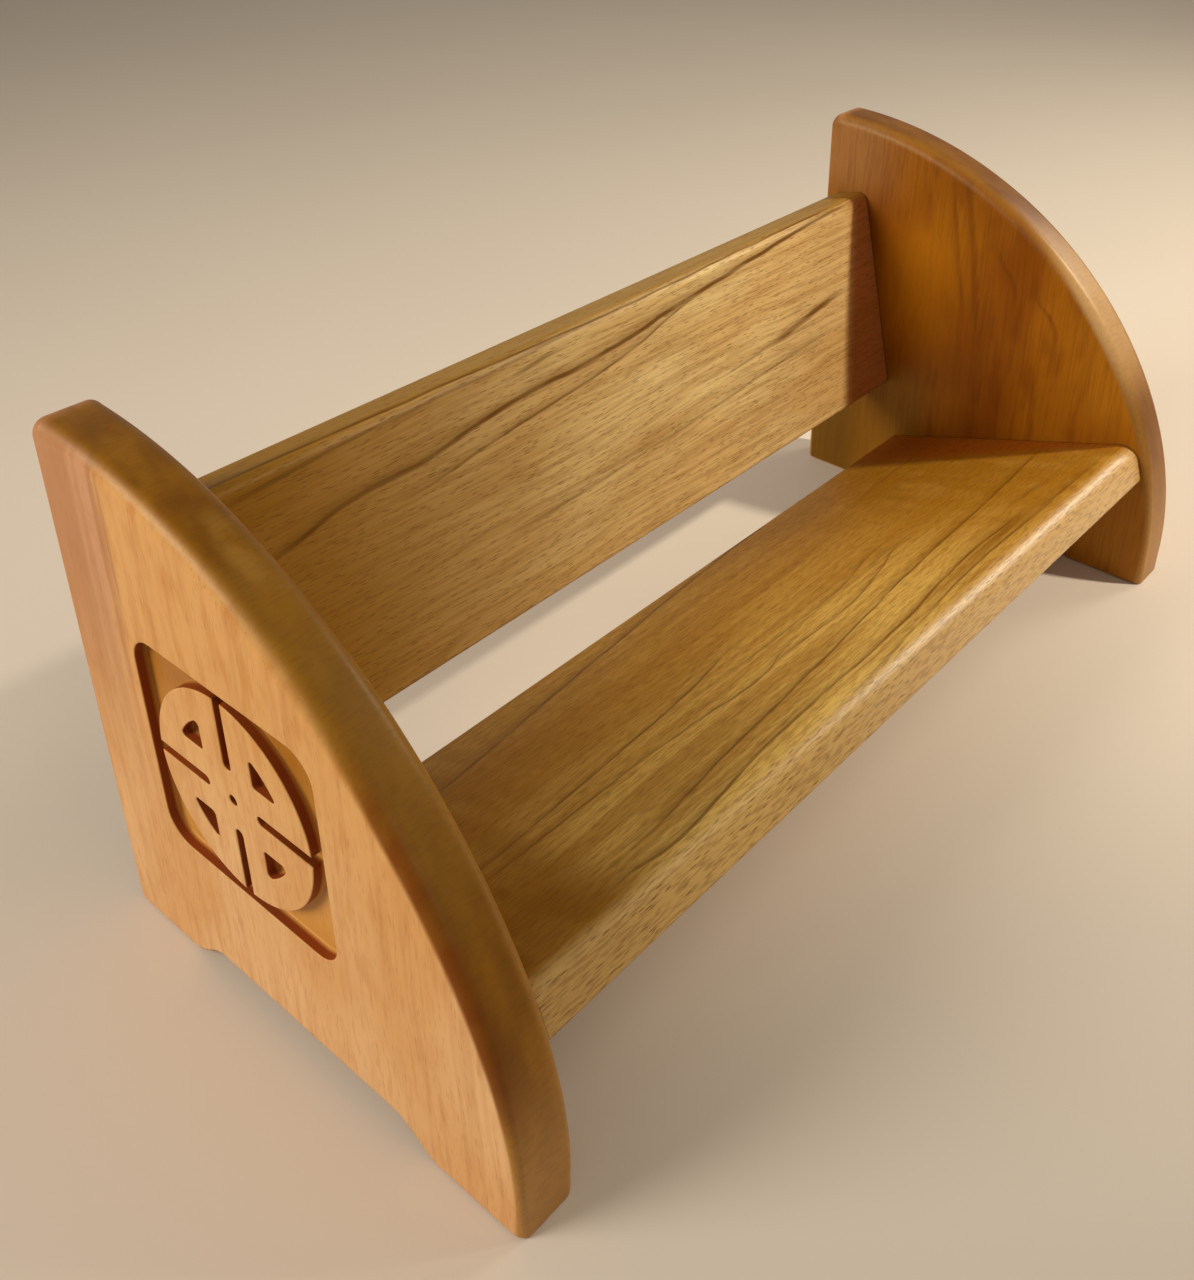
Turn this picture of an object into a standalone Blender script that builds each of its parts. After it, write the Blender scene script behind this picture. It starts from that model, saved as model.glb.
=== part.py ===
"""Table-top book trough in beech: two carved end panels, a sloping shelf and a leaning back board.

Metres, +Z up. X runs along the trough, -Y is the front, and the feet stand on Z = 0.
"""

import math

import bmesh
import bpy

# Whole trough
BETWEEN_ENDS = 0.425
JOINT_GAP = 0.0003  # between a board's end and the panel it is glued to

# End panels: quarter oval in front and on top, straight back edge, arch between two feet
END_DEPTH = 0.207
END_HEIGHT = 0.2095
END_THICKNESS = 0.023
FRONT_RISE = 0.016  # upright part of the front edge, below the oval
FOOT_LENGTH = 0.037
ARCH_HEIGHT = 0.0096
ARCH_EASE = 0.021  # length of the ogee at each end of the arch

# Round-overs of the end panels' rim, worked by hand and widest half way round the oval
ROUND_CURVE = 0.0065
ROUND_TOE = 0.004  # at the floor, on the front corners of the front foot
ROUND_FOOT = 0.003  # where the oval starts
ROUND_TOP = 0.006
ROUND_BACK = 0.0025
ROUND_BOTTOM = 0.0015
ROUND_FADE = 12  # the higher, the nearer to the foot and the top the round-over changes
CORNER_EXTRA = 0.0005  # a rear corner of the outline is this much rounder than its rim
TOE_CORNER = 0.001  # radius of the outline's corner under the front edge
TOE_EASE = 0.009  # length under the front foot over which the toe's round-over grows

# Shelf: places are those of the sharp upper edges, before rounding
SHELF_THICKNESS = 0.0205
SHELF_TILT = math.radians(17.75)
SHELF_REAR_INSET = 0.0557  # from the back of the ends
SHELF_FRONT_INSET = 0.0156  # from the front of the ends
SHELF_REAR_HEIGHT = 0.035
SHELF_FRONT_ROUND = 0.009
SHELF_LOWER_ROUND = 0.003
SHELF_REAR_ROUND = 0.002

# Back board: places are those of its sharp front edges, before rounding
BACK_THICKNESS = 0.022
BACK_TILT = math.radians(13.0)
BACK_LOWER_INSET = 0.0497  # from the back of the ends
BACK_LOWER_HEIGHT = 0.0665
BACK_TOP_DROP = 0.038  # from the top of the ends
BACK_UPPER_ROUND = 0.005
BACK_LOWER_ROUND = 0.002

# Carving in the outer face of each end: a quartered disc left standing in a rounded recess
CARVING_DEPTH = 0.0045
CARVING_INSET = 0.0839  # of its centre, from the back of the ends
CARVING_HEIGHT = 0.1013  # of its centre, from the floor
DISC_RADIUS = 0.0398
CHANNEL_BESIDE = 0.0062  # least channel in front of and behind the disc
CHANNEL_ABOVE = 0.0032  # least channel above and below the disc
RECESS_CORNER = 0.011
SLOT_WIDTH = 0.004
SLOT_START = 0.0126  # from the disc's centre
POCKET_OFFSET = 0.013  # of a pocket's straight sides, from the disc's centre lines
POCKET_RADIUS = 0.0283
POCKET_CORNER = 0.0015
CENTRE_HOLE_RADIUS = 0.002

# Dowels
DOWEL_RADIUS = 0.004
DOWEL_LENGTH = 0.030
DOWEL_CHAMFER = 0.001
FLUTE_COUNT = 12
FLUTE_DEPTH = 0.0003
DOWEL_COVER = 0.009  # wood left between a bore and the outer face of an end
BORE_CLEARANCE = 0.0002  # round the dowel
BORE_END_GAP = 0.001  # beyond each end of the dowel, for glue
SHELF_DOWEL_COUNT = 3
SHELF_DOWEL_REAR = 0.022  # from the shelf's rear edge to its first dowel
SHELF_DOWEL_FRONT = 0.032  # from the shelf's front edge to its last dowel
BACK_DOWEL_COUNT = 2
BACK_DOWEL_EDGE = 0.025  # from the back board's edges to its dowels

# Facets
OVAL_STEPS = 36
OGEE_STEPS = 8
CORNER_STEPS = 5
RIM_STEPS = 4
CIRCLE_STEPS = 24
DISC_QUARTER_STEPS = 12
CUT_OVERSHOOT = 0.002  # how far a cutter stands out of the wood

QUARTER = math.pi / 2
SIDES = {"left": -1, "right": 1}


def clear_scene():
    for item in list(bpy.data.objects):
        bpy.data.objects.remove(item)


def beech(name, colour, roughness):
    material = bpy.data.materials.new(name)
    material.use_nodes = True
    shader = material.node_tree.nodes["Principled BSDF"]
    shader.inputs["Base Color"].default_value = (*colour, 1)
    shader.inputs["Roughness"].default_value = roughness
    shader.inputs["Metallic"].default_value = 0
    return material


def add_object(name, mesh, parent):
    data = bpy.data.meshes.new(name)
    bmesh.ops.recalc_face_normals(mesh, faces=mesh.faces)
    mesh.to_mesh(data)
    mesh.free()
    item = bpy.data.objects.new(name, data)
    item.parent = parent
    bpy.context.scene.collection.objects.link(item)
    return item


def make_cutter(item):
    item.hide_render = True
    item.display_type = "WIRE"
    return item


def cut(target, cutter):
    boolean = target.modifiers.new(cutter.name, "BOOLEAN")
    boolean.operation = "DIFFERENCE"
    boolean.solver = "EXACT"
    boolean.object = cutter


def arc(centre, radius, start, stop, steps):
    angles = [start + (stop - start) * i / steps for i in range(steps + 1)]
    return [(centre[0] + radius * math.cos(a), centre[1] + radius * math.sin(a)) for a in angles]


def add_loft(mesh, rings):
    """Adds a closed solid through rings of equal length, capped at both ends."""
    loops = [[mesh.verts.new(point) for point in ring] for ring in rings]
    for near, far in zip(loops, loops[1:]):
        for i in range(len(near)):
            mesh.faces.new((near[i - 1], near[i], far[i], far[i - 1]))
    mesh.faces.new(loops[0])
    mesh.faces.new(loops[-1])


def add_prism(mesh, outlines, near_x, far_x):
    """Adds the area between nested outlines in Y and Z as a solid from near_x to far_x."""
    caps = {near_x: [], far_x: []}
    for outline in outlines:
        near = [mesh.verts.new((near_x, *point)) for point in outline]
        far = [mesh.verts.new((far_x, *point)) for point in outline]
        for i in range(len(outline)):
            mesh.faces.new((near[i - 1], near[i], far[i], far[i - 1]))
            caps[near_x].append(mesh.edges.get((near[i - 1], near[i])))
            caps[far_x].append(mesh.edges.get((far[i - 1], far[i])))
    for edges in caps.values():
        bmesh.ops.triangle_fill(mesh, edges=edges, use_beauty=True)


def rim_radius(turn):
    """Round-over on the oval: turn is 0 at the front foot and a quarter turn at the top."""
    at_foot = math.cos(turn) ** ROUND_FADE
    at_top = math.sin(turn) ** ROUND_FADE
    return ROUND_CURVE - (ROUND_CURVE - ROUND_FOOT) * at_foot - (ROUND_CURVE - ROUND_TOP) * at_top


def rim_row(from_back, height, outward, radius):
    """An outline row: its place, how far the rim takes it back and up, and how far across."""
    return from_back, height, -radius * math.cos(outward), -radius * math.sin(outward), radius


def corner_rows(centre, radius, start, first_round, last_round):
    """Outline rows of a rounded corner, whose outward direction turns by a quarter from start."""
    rows = []
    for i in range(CORNER_STEPS + 1):
        share = i / CORNER_STEPS
        angle = start + QUARTER * share
        point = arc(centre, radius, angle, angle, 1)[0]
        rows.append(rim_row(*point, angle, first_round + (last_round - first_round) * share))
    return rows


def toe_rows():
    """Outline rows of the front foot's corner, which keeps its shape as the rim takes it back."""
    centre = (END_DEPTH - TOE_CORNER, TOE_CORNER)
    rows = [rim_row(END_DEPTH - TOE_EASE, 0, 3 * QUARTER, ROUND_BOTTOM)]
    for point in arc(centre, TOE_CORNER, 3 * QUARTER, 4 * QUARTER, CORNER_STEPS):
        rows.append((*point, -ROUND_TOE, ROUND_BOTTOM, ROUND_TOE))
    return rows


def ogee_rows(from_back, direction):
    """Outline rows of one end of the arch: direction is 1 where it rises and -1 where it falls."""
    rows = []
    for i in range(OGEE_STEPS + 1):
        share = i / OGEE_STEPS
        rise = share if direction > 0 else 1 - share
        height = ARCH_HEIGHT * (1 - math.cos(math.pi * rise)) / 2
        slope = direction * ARCH_HEIGHT * math.pi * math.sin(math.pi * rise) / (2 * ARCH_EASE)
        rows.append(rim_row(from_back + ARCH_EASE * share, height, math.atan2(-1, slope), ROUND_BOTTOM))
    return rows


def oval_rows(last_from_back):
    """Outline rows of the quarter oval, from the front foot up and back to last_from_back."""
    rise = END_HEIGHT - FRONT_RISE
    last_turn = math.acos(last_from_back / END_DEPTH)
    rows = []
    for i in range(OVAL_STEPS + 1):
        turn = last_turn * i / OVAL_STEPS
        point = (END_DEPTH * math.cos(turn), FRONT_RISE + rise * math.sin(turn))
        outward = math.atan2(math.sin(turn) / rise, math.cos(turn) / END_DEPTH)
        rows.append(rim_row(*point, outward, rim_radius(turn)))
    return rows


def end_outline():
    """Outline rows once round the panel, from its rear foot by the front to its top."""
    back_corner = max(ROUND_BACK, ROUND_BOTTOM) + CORNER_EXTRA
    top_corner = max(ROUND_BACK, ROUND_TOP) + CORNER_EXTRA
    rows = corner_rows((back_corner, back_corner), back_corner, math.pi, ROUND_BACK, ROUND_BOTTOM)
    rows += ogee_rows(FOOT_LENGTH, 1)
    rows += ogee_rows(END_DEPTH - FOOT_LENGTH - ARCH_EASE, -1)
    rows += toe_rows()
    oval = oval_rows(top_corner)
    rows += oval
    top_centre = (top_corner, oval[-1][1] - top_corner)
    rows += corner_rows(top_centre, top_corner, QUARTER, ROUND_TOP, ROUND_BACK)[1:]
    return rows


def end_panel(name, side, parent):
    """The slab of the end outline, its rim rounded by each row's own radius."""
    outline = end_outline()
    rings = []
    for face in (-1, 1):
        for i in range(RIM_STEPS + 1):
            step = i if face < 0 else RIM_STEPS - i
            lean = QUARTER * step / RIM_STEPS
            inward = 1 - math.sin(lean)
            ring = []
            for from_back, height, rim_back, rim_up, rim_across in outline:
                x = face * (END_THICKNESS / 2 - rim_across * (1 - math.cos(lean)))
                y = END_DEPTH / 2 - (from_back + rim_back * inward)
                ring.append((x, y, height + rim_up * inward))
            rings.append(ring)
    mesh = bmesh.new()
    add_loft(mesh, rings)
    panel = add_object(name, mesh, parent)
    panel.location.x = side * (BETWEEN_ENDS + END_THICKNESS) / 2
    panel.data.materials.append(beech(name, (0.58, 0.28, 0.10), 0.42))
    return panel


def recess_outline():
    half_y = DISC_RADIUS + CHANNEL_BESIDE - RECESS_CORNER
    half_z = DISC_RADIUS + CHANNEL_ABOVE - RECESS_CORNER
    corners = ((half_y, half_z), (-half_y, half_z), (-half_y, -half_z), (half_y, -half_z))
    points = []
    for i, corner in enumerate(corners):
        points += arc(corner, RECESS_CORNER, i * QUARTER, (i + 1) * QUARTER, CORNER_STEPS)
    return points


def slotted_disc_outline():
    """The disc's rim, running in and out of the four slots."""
    half = SLOT_WIDTH / 2
    lost = math.asin(half / DISC_RADIUS)
    points = []
    for i in range(4):
        points += arc((0, 0), DISC_RADIUS, i * QUARTER + lost, (i + 1) * QUARTER - lost, DISC_QUARTER_STEPS)
        along = (i + 1) * QUARTER
        inner = (SLOT_START + half) * math.cos(along), (SLOT_START + half) * math.sin(along)
        points += arc(inner, half, along - QUARTER, along - 3 * QUARTER, CORNER_STEPS)
    return points


def pocket_outline(quarter):
    """One pocket of the disc: two straight sides and an arc about the disc's centre."""
    near = POCKET_OFFSET + POCKET_CORNER
    far = math.sqrt((POCKET_RADIUS - POCKET_CORNER) ** 2 - near ** 2)
    spread = math.atan2(near, far)
    points = arc((near, near), POCKET_CORNER, math.pi, 3 * QUARTER, CORNER_STEPS)
    points += arc((far, near), POCKET_CORNER, -QUARTER, spread, CORNER_STEPS)
    points += arc((0, 0), POCKET_RADIUS, spread, QUARTER - spread, CORNER_STEPS)[1:-1]
    points += arc((near, far), POCKET_CORNER, QUARTER - spread, math.pi, CORNER_STEPS)
    turn = quarter * QUARTER
    return [
        (y * math.cos(turn) - z * math.sin(turn), y * math.sin(turn) + z * math.cos(turn))
        for y, z in points
    ]


def carve(panel, side):
    """Cuts the recess round the disc, the disc's slots and pockets, and its centre hole."""
    outlines = [recess_outline(), slotted_disc_outline()]
    outlines += [pocket_outline(quarter) for quarter in range(4)]
    outlines.append(arc((0, 0), CENTRE_HOLE_RADIUS, 0, 2 * math.pi, CIRCLE_STEPS)[:-1])
    face = side * END_THICKNESS / 2
    mesh = bmesh.new()
    add_prism(mesh, outlines, face + side * CUT_OVERSHOOT, face - side * CARVING_DEPTH)
    cutter = make_cutter(add_object(panel.name + "_carving", mesh, panel))
    cutter.location.y = END_DEPTH / 2 - CARVING_INSET
    cutter.location.z = CARVING_HEIGHT
    cut(panel, cutter)


def board_profile(front, rear, bottom, top, rounds):
    """Outline of a board in Y and Z: rounds run rear top, front top, front bottom, rear bottom."""
    corners = ((rear, top, -1, -1), (front, top, 1, -1), (front, bottom, 1, 1), (rear, bottom, -1, 1))
    points = []
    for i, ((y, z, inward_y, inward_z), radius) in enumerate(zip(corners, rounds)):
        centre = (y + inward_y * radius, z + inward_z * radius)
        points += arc(centre, radius, i * QUARTER, (i + 1) * QUARTER, CORNER_STEPS)
    return points


def add_board(name, profile, parent, colour):
    half = BETWEEN_ENDS / 2 - JOINT_GAP
    mesh = bmesh.new()
    add_loft(mesh, [[(x, *point) for point in profile] for x in (-half, half)])
    board = add_object(name, mesh, parent)
    board.data.materials.append(beech(name, colour, 0.38))
    return board


def shelf_width():
    run = END_DEPTH - SHELF_REAR_INSET - SHELF_FRONT_INSET
    return run / math.cos(SHELF_TILT)


def back_width():
    rise = END_HEIGHT - BACK_TOP_DROP - BACK_LOWER_HEIGHT
    return rise / math.cos(BACK_TILT)


def shelf_board(parent):
    """Its origin is the sharp rear upper edge, from which it slopes up to the front."""
    rounds = (SHELF_REAR_ROUND, SHELF_FRONT_ROUND, SHELF_LOWER_ROUND, SHELF_REAR_ROUND)
    profile = board_profile(-shelf_width(), 0, -SHELF_THICKNESS, 0, rounds)
    board = add_board("shelf_board", profile, parent, (0.40, 0.19, 0.045))
    board.location = (0, END_DEPTH / 2 - SHELF_REAR_INSET, SHELF_REAR_HEIGHT)
    board.rotation_euler.x = -SHELF_TILT
    return board


def back_board(parent):
    """Its origin is the sharp lower front edge, above which it leans back."""
    rounds = (BACK_UPPER_ROUND, BACK_UPPER_ROUND, BACK_LOWER_ROUND, BACK_LOWER_ROUND)
    profile = board_profile(0, BACK_THICKNESS, 0, back_width(), rounds)
    board = add_board("back_board", profile, parent, (0.43, 0.23, 0.07))
    board.location = (0, END_DEPTH / 2 - BACK_LOWER_INSET, BACK_LOWER_HEIGHT)
    board.rotation_euler.x = -BACK_TILT
    return board


def spaced(first, last, count):
    return [first + (last - first) * i / (count - 1) for i in range(count)]


def fluted_ring(x, radius):
    points = []
    for i in range(2 * FLUTE_COUNT):
        reach = radius - FLUTE_DEPTH * (i % 2)
        angle = math.pi * i / FLUTE_COUNT
        points.append((x, reach * math.cos(angle), reach * math.sin(angle)))
    return points


def add_dowel(name, board):
    """A fluted dowel along X about its own origin, with chamfered ends."""
    half = DOWEL_LENGTH / 2
    tip = DOWEL_RADIUS - DOWEL_CHAMFER
    rings = [fluted_ring(-half, tip), fluted_ring(DOWEL_CHAMFER - half, DOWEL_RADIUS)]
    rings += [fluted_ring(half - DOWEL_CHAMFER, DOWEL_RADIUS), fluted_ring(half, tip)]
    mesh = bmesh.new()
    add_loft(mesh, rings)
    dowel = add_object(name, mesh, board)
    dowel.data.materials.append(beech(name, (0.62, 0.42, 0.24), 0.6))
    return dowel


def dowel_joint(board, panel, label, side, places):
    """Dowels at these Y and Z places of a board, in blind bores of the board and the panel."""
    reach = END_THICKNESS - DOWEL_COVER - BORE_END_GAP
    middle = side * (BETWEEN_ENDS / 2 + reach - DOWEL_LENGTH / 2)
    bore_half = DOWEL_LENGTH / 2 + BORE_END_GAP
    bores = bmesh.new()
    for i, place in enumerate(places):
        dowel = add_dowel(f"{label}_{i + 1}", board)
        dowel.location = (middle, *place)
        circle = arc(place, DOWEL_RADIUS + BORE_CLEARANCE, 0, 2 * math.pi, CIRCLE_STEPS)[:-1]
        add_loft(bores, [[(x, *point) for point in circle] for x in (middle - bore_half, middle + bore_half)])
    cutter = make_cutter(add_object(label + "_bores", bores, board))
    cut(board, cutter)
    cut(panel, cutter)


def build():
    clear_scene()
    root = bpy.data.objects.new("book_trough", None)
    bpy.context.scene.collection.objects.link(root)
    shelf = shelf_board(root)
    back = back_board(root)
    shelf_last = SHELF_DOWEL_FRONT - shelf_width()
    shelf_places = [
        (y, -SHELF_THICKNESS / 2) for y in spaced(-SHELF_DOWEL_REAR, shelf_last, SHELF_DOWEL_COUNT)
    ]
    back_last = back_width() - BACK_DOWEL_EDGE
    back_places = [
        (BACK_THICKNESS / 2, z) for z in spaced(BACK_DOWEL_EDGE, back_last, BACK_DOWEL_COUNT)
    ]
    for word, side in SIDES.items():
        panel = end_panel(f"{word}_end_panel", side, root)
        carve(panel, side)
        dowel_joint(shelf, panel, f"shelf_dowel_{word}", side, shelf_places)
        dowel_joint(back, panel, f"back_dowel_{word}", side, back_places)


build()
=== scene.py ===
"""Looks of the table-top book trough: oiled beech boards and carved ends, floor, light and camera.

Metres, +Z up. X runs along the trough, -Y is the front, and the feet stand on Z = 0.
"""

import math

import bmesh
import bpy
from mathutils import Matrix, Vector


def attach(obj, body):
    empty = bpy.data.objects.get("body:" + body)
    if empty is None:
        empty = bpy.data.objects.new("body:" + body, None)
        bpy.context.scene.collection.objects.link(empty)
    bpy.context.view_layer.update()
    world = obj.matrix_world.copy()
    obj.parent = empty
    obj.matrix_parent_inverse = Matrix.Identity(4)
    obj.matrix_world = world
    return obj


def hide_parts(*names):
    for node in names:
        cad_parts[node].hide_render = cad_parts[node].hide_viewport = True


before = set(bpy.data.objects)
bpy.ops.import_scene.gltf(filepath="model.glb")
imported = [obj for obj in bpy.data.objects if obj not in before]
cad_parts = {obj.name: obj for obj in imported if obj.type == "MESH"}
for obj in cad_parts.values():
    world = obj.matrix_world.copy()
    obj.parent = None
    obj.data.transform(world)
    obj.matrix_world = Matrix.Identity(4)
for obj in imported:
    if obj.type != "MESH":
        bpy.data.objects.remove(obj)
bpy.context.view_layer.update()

QUARTER = math.pi / 2
SIDES = {"left": -1, "right": 1}

# Camera: its place and turn, and where its axis meets the picture
PHOTO_WIDTH = 1194
PHOTO_HEIGHT = 1280
FOCAL_PIXELS = 1377.5
AXIS_PIXEL = (650.1, 430.0)
CAMERA_PLACE = (-0.3976, -0.2888, 0.4129)
CAMERA_YAW = math.radians(49.735)  # from the back towards the right
CAMERA_PITCH = math.radians(-28.818)
CAMERA_ROLL = math.radians(0.310)
SENSOR_WIDTH = 36.0
CAMERA_NEAR = 0.01

# Whole trough
BETWEEN_ENDS = 0.425
JOINT_GAP = 0.0003  # between a board's end and the panel it is glued to

# End panels: quarter oval in front and on top, straight back edge, arch between two feet
END_DEPTH = 0.207
END_HEIGHT = 0.2095
END_THICKNESS = 0.023
FRONT_RISE = 0.016  # upright part of the front edge, below the oval
FOOT_LENGTH = 0.037
ARCH_HEIGHT = 0.0096
ARCH_EASE = 0.021  # length of the ogee at each end of the arch

# Round-overs of the end panels' rim
ROUND_CURVE = 0.0065
ROUND_TOE = 0.004  # at the floor, on the front corners of the front foot
ROUND_FOOT = 0.003  # where the oval starts
ROUND_TOP = 0.006
ROUND_BACK = 0.0025
ROUND_BOTTOM = 0.0015
ROUND_FADE = 12  # the higher, the nearer to the foot and the top the round-over changes
CORNER_EXTRA = 0.0005  # a rear corner of the outline is this much rounder than its rim
TOE_CORNER = 0.001  # radius of the outline's corner under the front edge
TOE_EASE = 0.009  # length under the front foot over which the toe's round-over grows

# Carving in the outer face of each end: a quartered disc left standing in a rounded recess
CARVING_DEPTH = 0.0045
CARVING_INSET = 0.0839  # of its centre, from the back of the ends
CARVING_HEIGHT = 0.1013  # of its centre, from the floor
CARVING_LIP = 0.0004  # sanded round on every upper edge
CARVING_FILLET = 0.0006  # left by the cutter along the floor
DISC_RADIUS = 0.0398
CHANNEL_BESIDE = 0.0062  # least channel in front of and behind the disc
CHANNEL_ABOVE = 0.0032  # least channel above and below the disc
RECESS_CORNER = 0.011
SLOT_WIDTH = 0.004
SLOT_START = 0.0126  # from the disc's centre
POCKET_OFFSET = 0.013  # of a pocket's straight sides, from the disc's centre lines
POCKET_RADIUS = 0.0283
POCKET_CORNER = 0.0015
CENTRE_HOLE_RADIUS = 0.002

# Shelf, placed by its sharp rear upper edge
SHELF_THICKNESS = 0.0205
SHELF_TILT = math.radians(17.75)
SHELF_REAR_INSET = 0.0557  # from the back of the ends
SHELF_FRONT_INSET = 0.0156  # from the front of the ends
SHELF_REAR_HEIGHT = 0.035
SHELF_FRONT_ROUND = 0.009
SHELF_LOWER_ROUND = 0.003
SHELF_REAR_ROUND = 0.002
SHELF_WIDTH = (END_DEPTH - SHELF_REAR_INSET - SHELF_FRONT_INSET) / math.cos(SHELF_TILT)
SHELF_PLACE = (0, END_DEPTH / 2 - SHELF_REAR_INSET, SHELF_REAR_HEIGHT)

# Back board, placed by its sharp lower front edge
BACK_THICKNESS = 0.022
BACK_TILT = math.radians(13.0)
BACK_LOWER_INSET = 0.0497  # from the back of the ends
BACK_LOWER_HEIGHT = 0.0665
BACK_TOP_DROP = 0.038  # from the top of the ends
BACK_UPPER_ROUND = 0.005
BACK_LOWER_ROUND = 0.002
BACK_WIDTH = (END_HEIGHT - BACK_TOP_DROP - BACK_LOWER_HEIGHT) / math.cos(BACK_TILT)
BACK_PLACE = (0, END_DEPTH / 2 - BACK_LOWER_INSET, BACK_LOWER_HEIGHT)

# Corners of a board's profile, in the order in which its points run
BOARD_CORNERS = (("Rear", "Top"), ("Front", "Top"), ("Front", "Bottom"), ("Rear", "Bottom"))

# Facets
OVAL_STEPS = 72
OGEE_STEPS = 16
CORNER_STEPS = 8
RIM_STEPS = 10
LIP_STEPS = 3
CIRCLE_STEPS = 32
DISC_QUARTER_STEPS = 24
BOARD_ROUND_STEPS = 12
FLAT_FACE_AREA = 0.0005  # a board's faces above this are its flats, and are shaded flat

# Grain
GRAIN_DRIFT = 0.008  # how far the grain wanders from a straight line
GRAIN_DRIFT_CELL = (0.14, 0.05, 0.05)
LINE_WOBBLE = 0.0020
LINE_WOBBLE_CELL = (0.026, 0.05, 0.05)
LINE_BREAK = 0.3  # how much of a line goes where it is faintest
LINE_BREAK_CELL = (0.030, 0.004, 0.004)
LINE_TAPER = 0.04  # as a share of the board's length
LINE_SKIRT = 0.45  # how dark a line's soft side is beside its core
PINK_BAND = 0.039  # its width at the top of an end
PINK_SLANT = 0.06  # how fast it narrows downwards
PINK_RAGGED = 0.018  # how far its edge wanders
END_SEEDS = {"left": 11.3, "right": 17.9}

# Oil and wear, and the rims' painted highlight
OIL_TINT = (1.0, 0.78, 0.45, 1)  # of the shine on the oiled wood
OIL_SHINE = 0.3
POLISH_ROUGHNESS = 0.4
PORE_DEPTH = 0.00003
BACK_PORE_DEPTH = 0.00005
SEAM_WIDTH = 0.0018  # of the dark line along a joint
SEAM_SHARE = 0.85
# Rims' end grain: colours, scuffs, and a pale band half way up that is wear with a painted highlight
RIM_WEAR_AND_SHEEN = {
    "left": {
        "light": (148, 94, 8),
        "dark": (122, 72, 2),
        "worn": (164, 114, 34),
        "worn_and_sheen_share": 0.45,
        "worn_and_sheen_top": (0.185, 0.195),
        "scuff_share": 0.45,
        "foot_share": 0.65,
        "polish": 0.05,
    },
    "right": {
        "light": (126, 76, 4),
        "dark": (104, 58, 2),
        "worn": (214, 170, 112),
        "worn_and_sheen_share": 0.55,
        "worn_and_sheen_top": (0.145, 0.180),
        "scuff_share": 0.0,
        "foot_share": 0.50,
        "polish": 0.15,
    },
}

# Growth lines: strength, then in millimetres the core, the soft side, and points along and across
MILLIMETRE = 0.001
BACK_LINES = (
    (0.95, 1.8, 6, ((37, 76), (70, 82), (107, 83), (157, 89), (200, 90), (277, 97), (357, 104), (405, 107))),
    (0.75, 1.0, 5, ((107, 73), (143, 77), (187, 81), (227, 86), (265, 94), (290, 99))),
    (0.55, 1.6, 4, ((25, 101), (80, 104), (150, 105), (215, 107))),
    (0.90, 1.3, 3, ((20, 112), (75, 111), (150, 109), (230, 107), (320, 109), (390, 110))),
    (0.80, 1.6, 2, ((163, 99), (172, 100), (183, 101))),
    (0.90, 2.6, 5, ((330, 56), (350, 58), (372, 61), (390, 63))),
    (0.50, 1.0, 4, ((287, 53), (310, 54), (335, 57))),
    (0.50, 1.2, 7, ((150, 36), (260, 40), (377, 46))),
    (0.45, 3.0, 4, ((92, 4), (100, 6), (108, 8))),
)
SHELF_LINES = (
    (0.85, 1.4, 7, ((60, 116), (133, 125), (227, 136), (300, 141))),
    (0.90, 1.0, 4, ((30, 61), (90, 64), (143, 67), (187, 73))),
    (0.45, 0.8, 3, ((135, 72), (160, 75), (187, 80))),
    (0.80, 1.0, 4, ((25, 54), (107, 52), (133, 50), (173, 46), (197, 51))),
    (0.65, 1.0, 4, ((140, 63), (200, 60), (250, 60), (283, 65))),
    (0.75, 1.0, 5, ((187, 48), (233, 46), (267, 51), (297, 58))),
    (0.90, 1.1, 6, ((70, 18), (133, 25), (187, 29), (267, 37), (347, 41), (410, 45))),
    (0.90, 1.3, 7, ((53, 10), (73, 7), (133, 13), (233, 15), (287, 20), (333, 19))),
    (0.80, 1.2, 9, ((187, 5), (233, 8), (287, 12), (340, 11), (400, 10))),
    (0.45, 1.0, 3, ((337, 108), (360, 110), (383, 111))),
    (0.65, 3.4, 5, ((290, 17), (312, 16), (335, 17))),
    (0.60, 3.0, 4, ((353, 27), (366, 25), (378, 23))),
    (0.50, 2.6, 4, ((270, 58), (285, 60), (298, 58))),
)
INNER_LINES = (
    (0.60, 3.0, 6, ((120, 111), (150, 115), (175, 120), (192, 123))),
    (0.45, 2.0, 5, ((125, 119), (150, 124), (170, 128), (188, 131))),
    (0.55, 2.2, 4, ((113, 66), (122, 66), (131, 70), (138, 77))),
    (0.45, 2.2, 5, ((135, 90), (145, 93), (152, 99), (158, 102))),
)

# Stage
FLOOR_REACH = 8  # from its middle to its edges
FLOOR_CLOUD = (0.4, 0.4, 0.4)
FLOOR_SHINE = 0.1
ROOM_TINT = (1.0, 0.97, 0.93, 1)
ROOM_STRENGTH = 0.28
DAYLIGHT = (1.0, 0.98, 0.95)
WARM_LIGHT = (1.0, 0.95, 0.86)
LAMPLIGHT = (1.0, 0.94, 0.84)
AREA_SPREAD = math.radians(100)
LAMP_CONE = math.radians(92)
LAMP_BLEND = 0.8


def colour(red, green, blue):
    """A colour given as it looks on a screen, from 0 to 255, as linear values."""
    parts = [part / 255 for part in (red, green, blue)]
    return (*(p / 12.92 if p <= 0.04045 else ((p + 0.055) / 1.055) ** 2.4 for p in parts), 1)


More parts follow.
